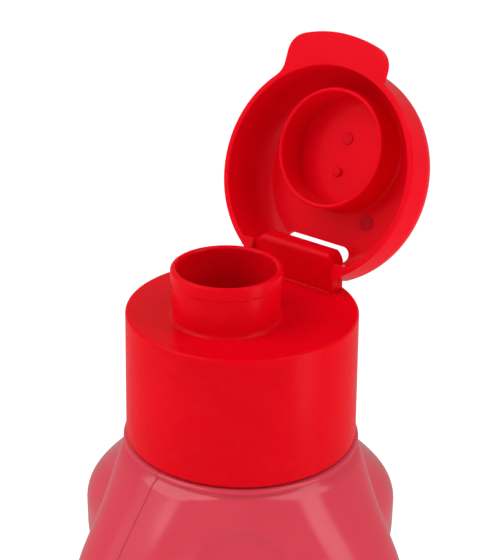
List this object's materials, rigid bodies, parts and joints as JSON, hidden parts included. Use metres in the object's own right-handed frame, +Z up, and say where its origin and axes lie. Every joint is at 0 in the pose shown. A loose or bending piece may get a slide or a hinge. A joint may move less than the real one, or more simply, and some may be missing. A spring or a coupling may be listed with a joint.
{
  "type": "sports squeeze bottle",
  "caption": "Squeeze drinking bottle with a lobed, waisted body, a tall screw cap with a drinking spout, and a hinged flip-top lid with a thumb tab.",
  "frame": {"origin": "centre of the foot ring, at the height of the surface the bottle stands on", "axes": "+Z up along the neck, -Y towards the front panel; the screwed-down cap is turned 38.8 degrees clockwise about +Z, seen from above, so the spout points to -X and -Y"},
  "size_m": [0.0833, 0.0885, 0.2467],
  "materials": {
    "body_plastic": "glossy translucent soft plastic",
    "cap_plastic": "satin gloss moulded plastic",
    "lid_plastic": "satin gloss moulded plastic",
    "seal_rubber": "soft matte food-grade rubber"
  },
  "bodies": {
    "bottle": {"bottle_body": "body_plastic"},
    "seal": {"neck_seal": "seal_rubber"},
    "cap": {"screw_cap": "cap_plastic"},
    "lid": {"flip_lid": "lid_plastic"}
  },
  "joints": [
    {"name": "cap_lift", "type": "slide", "parent": "bottle", "child": "seal", "axis": [0, 0, 1], "range_m": [0, 0.0076]},
    {"name": "cap_turn", "type": "hinge", "parent": "seal", "child": "cap", "pos_m": [0, 0, 0.19], "axis": [0, 0, 1], "range_deg": [0, 540]},
    {"name": "lid_hinge", "type": "hinge", "parent": "cap", "child": "lid", "pos_m": [0.01379, 0.01715, 0.1944], "axis": [0.7793, -0.6266, 0], "range_deg": [0, 112]}
  ],
  "couplings": [
    {"joint": "cap_lift", "follows": "cap_turn", "m_per_rad": 0.00079577}
  ]
}
